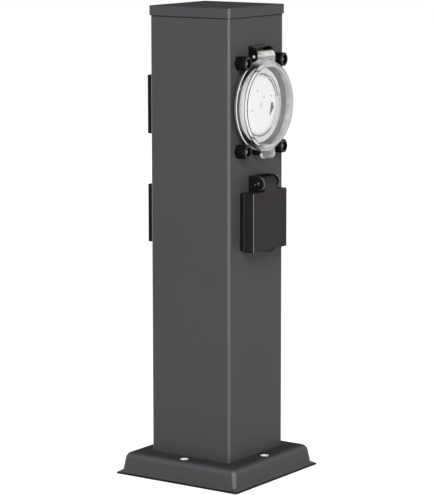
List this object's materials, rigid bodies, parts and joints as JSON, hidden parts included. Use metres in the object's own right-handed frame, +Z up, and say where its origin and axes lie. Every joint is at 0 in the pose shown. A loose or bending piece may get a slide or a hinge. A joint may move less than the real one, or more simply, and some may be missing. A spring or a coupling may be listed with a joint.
{
  "type": "garden socket post",
  "caption": "Square steel garden post on a pressed base, with a dial timer under a clear hinged cover and sprung-lid outdoor sockets.",
  "frame": {"origin": "on the ground under the middle of the base", "axes": "+Z up the column; -Y towards the timer and the front socket; +X to the right of a user who faces them"},
  "size_m": [0.124, 0.124, 0.396],
  "materials": {
    "painted_steel": "fine satin grey powder coat",
    "black_plastic": "fine moulded grain",
    "lid_plastic": "satin moulded black with a warm tone",
    "black_zinc": "black zinc plating",
    "bright_steel": "zinc plated",
    "brass_yellow": "plain brass",
    "rubber_black": "smooth black rubber",
    "dial_white": "off-white moulded plastic",
    "clear_plastic": "clear moulded polycarbonate",
    "grey_plastic": "light grey moulded plastic"
  },
  "bodies": {
    "post": {"column_tube": "painted_steel", "top_cap": "painted_steel", "base_plate": "painted_steel", "cap_plug": "black_plastic", "gland_body": "black_plastic", "gland_nut": "black_plastic", "gland_locknut": "black_plastic", "timer_housing": "black_plastic", "timer_rear_cover": "black_plastic", "timer_switch": "black_plastic", "socket_frame_front": "black_plastic", "socket_frame_back_upper": "black_plastic", "socket_frame_back_lower": "black_plastic", "contact_carrier_front": "black_plastic", "contact_carrier_back_upper": "black_plastic", "contact_carrier_back_lower": "black_plastic", "carrier_cover_front": "black_plastic", "carrier_cover_back_upper": "black_plastic", "carrier_cover_back_lower": "black_plastic", "timer_nuts": "black_zinc", "timer_carrier": "black_zinc", "foot_flange": "bright_steel", "flange_bolts_set": "bright_steel", "flange_washers": "bright_steel", "earth_nut": "bright_steel", "terminal_bracket": "bright_steel", "timer_screws": "bright_steel", "timer_motor": "bright_steel", "switch_lever": "bright_steel", "dial_arbor": "bright_steel", "cover_pin": "bright_steel", "socket_screws": "bright_steel", "lid_pins": "bright_steel", "lid_springs": "bright_steel", "earth_stud": "brass_yellow", "terminal_screws": "brass_yellow", "contact_tubes": "brass_yellow", "earth_clips": "brass_yellow", "gland_seal": "rubber_black", "timer_gasket": "rubber_black", "cover_seal": "rubber_black", "socket_gasket_front": "rubber_black", "socket_gasket_back_upper": "rubber_black", "socket_gasket_back_lower": "rubber_black", "terminal_block": "dial_white", "movement_plate": "grey_plastic"},
    "timer_cover": {"timer_cover": "clear_plastic"},
    "dial": {"timer_dial": "dial_white", "trippers": "dial_white"},
    "pinion": {"motor_pinion": "brass_yellow"},
    "lid_front": {"socket_lid_front": "lid_plastic", "lid_seal_front": "rubber_black"},
    "lid_back_upper": {"socket_lid_back_upper": "lid_plastic", "lid_seal_back_upper": "rubber_black"},
    "lid_back_lower": {"socket_lid_back_lower": "lid_plastic", "lid_seal_back_lower": "rubber_black"}
  },
  "joints": [
    {"name": "timer_cover_hinge", "type": "hinge", "parent": "post", "child": "timer_cover", "pos_m": [0, -0.0455, 0.3554], "axis": [-1, 0, 0], "range_deg": [0, 110]},
    {"name": "dial_turn", "type": "hinge", "parent": "post", "child": "dial", "pos_m": [0, -0.0426, 0.3148], "axis": [0, -1, 0], "continuous": true},
    {"name": "pinion_turn", "type": "hinge", "parent": "post", "child": "pinion", "pos_m": [-0.01729, -0.0364, 0.30177], "axis": [0, -1, 0], "continuous": true},
    {"name": "lid_front_hinge", "type": "hinge", "parent": "post", "child": "lid_front", "pos_m": [0, -0.0498, 0.2509], "axis": [-1, 0, 0], "range_deg": [0, 110], "stiffness_Nm_per_rad": 0.01, "springref_deg": -60.16},
    {"name": "lid_back_upper_hinge", "type": "hinge", "parent": "post", "child": "lid_back_upper", "pos_m": [0, 0.0498, 0.3435], "axis": [1, 0, 0], "range_deg": [0, 110], "stiffness_Nm_per_rad": 0.01, "springref_deg": -60.16},
    {"name": "lid_back_lower_hinge", "type": "hinge", "parent": "post", "child": "lid_back_lower", "pos_m": [0, 0.0498, 0.2514], "axis": [1, 0, 0], "range_deg": [0, 110], "stiffness_Nm_per_rad": 0.01, "springref_deg": -60.16}
  ],
  "couplings": [
    {"joint": "pinion_turn", "follows": "dial_turn", "ratio": -5}
  ]
}
